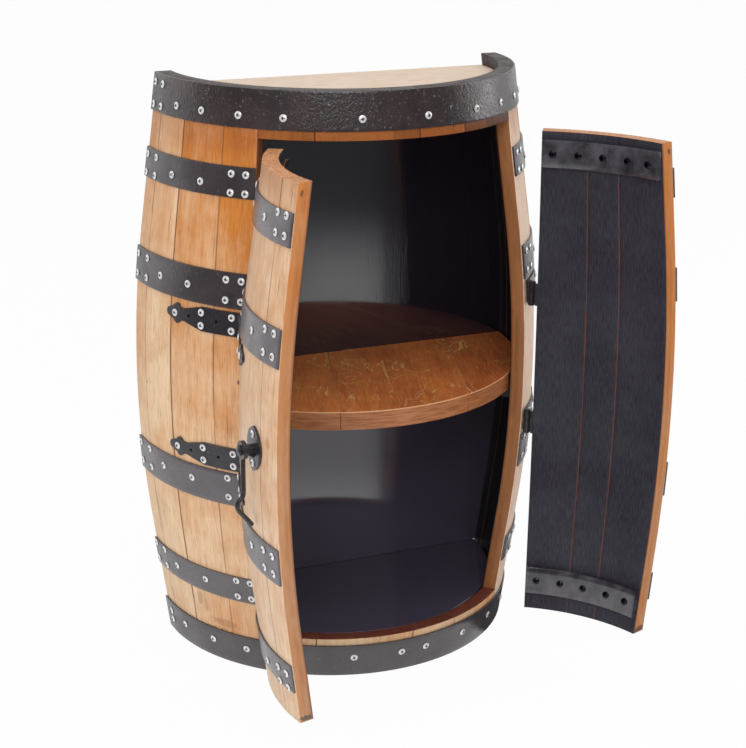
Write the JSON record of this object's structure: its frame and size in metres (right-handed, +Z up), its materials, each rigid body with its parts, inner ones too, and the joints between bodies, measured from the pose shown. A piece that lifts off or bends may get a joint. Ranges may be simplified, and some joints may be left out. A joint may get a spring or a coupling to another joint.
{
  "type": "barrel bar cabinet",
  "caption": "Half of a wooden barrel standing upright as a bar cabinet, with two curved hinged doors, steel hoops, a hook latch and a shelf inside.",
  "frame": {"origin": "on the floor, in the plane of the flat back, on the barrel's own axis", "axes": "+Z up; +Y out of the flat back, towards the wall; -Y towards someone facing the doors; +X to the right of someone facing the doors"},
  "size_m": [0.7119, 0.4875, 0.88],
  "materials": {
    "barrel_oak": "oiled oak, fine grain",
    "door_oak": "oiled oak, charred inside",
    "pale_oak": "sanded pale oak",
    "shelf_oak": "varnished oak",
    "charred_oak": "black stain",
    "black_inside": "satin black paint",
    "hoop_steel": "dark lacquered steel",
    "black_iron": "satin black",
    "bright_screw": "zinc plated",
    "black_screw": "black oxide"
  },
  "bodies": {
    "carcass": {"left_stave_1": "barrel_oak", "left_stave_2": "barrel_oak", "left_stave_3": "barrel_oak", "left_stave_4": "barrel_oak", "right_stave_1": "barrel_oak", "right_stave_2": "barrel_oak", "right_stave_3": "barrel_oak", "right_stave_4": "barrel_oak", "bottom_stave_ends": "barrel_oak", "top_stave_ends": "barrel_oak", "bottom_head": "black_inside", "top_head": "pale_oak", "back_panel": "black_inside", "shelf_boards": "shelf_oak", "shelf_cleats": "black_inside", "top_head_hoop": "hoop_steel", "bottom_head_hoop": "hoop_steel", "left_lower_quarter_hoop": "hoop_steel", "left_lower_bilge_hoop": "hoop_steel", "left_upper_bilge_hoop": "hoop_steel", "left_upper_quarter_hoop": "hoop_steel", "right_lower_quarter_hoop": "hoop_steel", "right_lower_bilge_hoop": "hoop_steel", "right_upper_bilge_hoop": "hoop_steel", "right_upper_quarter_hoop": "hoop_steel", "left_upper_side_leaf": "black_iron", "left_lower_side_leaf": "black_iron", "right_upper_side_leaf": "black_iron", "right_lower_side_leaf": "black_iron", "hinge_pins": "black_iron", "carcass_hoop_screws": "bright_screw", "carcass_hinge_screws": "bright_screw"},
    "left_door": {"left_door_stave_1": "door_oak", "left_door_stave_2": "door_oak", "left_door_stave_3": "door_oak", "left_door_lower_quarter_hoop": "hoop_steel", "left_door_lower_bilge_hoop": "hoop_steel", "left_door_upper_bilge_hoop": "hoop_steel", "left_door_upper_quarter_hoop": "hoop_steel", "left_door_battens": "charred_oak", "left_upper_door_leaf": "black_iron", "left_lower_door_leaf": "black_iron", "left_door_bright_screws": "bright_screw", "left_batten_screws": "black_screw", "latch_plate": "black_iron"},
    "right_door": {"right_door_stave_1": "door_oak", "right_door_stave_2": "door_oak", "right_door_stave_3": "door_oak", "right_door_lower_quarter_hoop": "hoop_steel", "right_door_lower_bilge_hoop": "hoop_steel", "right_door_upper_bilge_hoop": "hoop_steel", "right_door_upper_quarter_hoop": "hoop_steel", "right_door_battens": "charred_oak", "right_upper_door_leaf": "black_iron", "right_lower_door_leaf": "black_iron", "right_door_bright_screws": "bright_screw", "right_batten_screws": "black_screw", "keeper": "black_iron"},
    "latch_hook_body": {"latch_hook": "black_iron"}
  },
  "joints": [
    {"name": "left_door_hinge", "type": "hinge", "parent": "carcass", "child": "left_door", "pos_m": [-0.22544, -0.23061, 0.4525], "axis": [0, 0, 1], "range_deg": [-89, 81]},
    {"name": "right_door_hinge", "type": "hinge", "parent": "carcass", "child": "right_door", "pos_m": [0.23335, -0.22261, 0.4525], "axis": [0, 0, 1], "range_deg": [-103, 67]},
    {"name": "latch_hook_pivot", "type": "hinge", "parent": "left_door", "child": "latch_hook_body", "pos_m": [-0.29625, -0.42886, 0.4525], "axis": [-0.9994, -0.0349, 0], "range_deg": [-20, 150]}
  ]
}
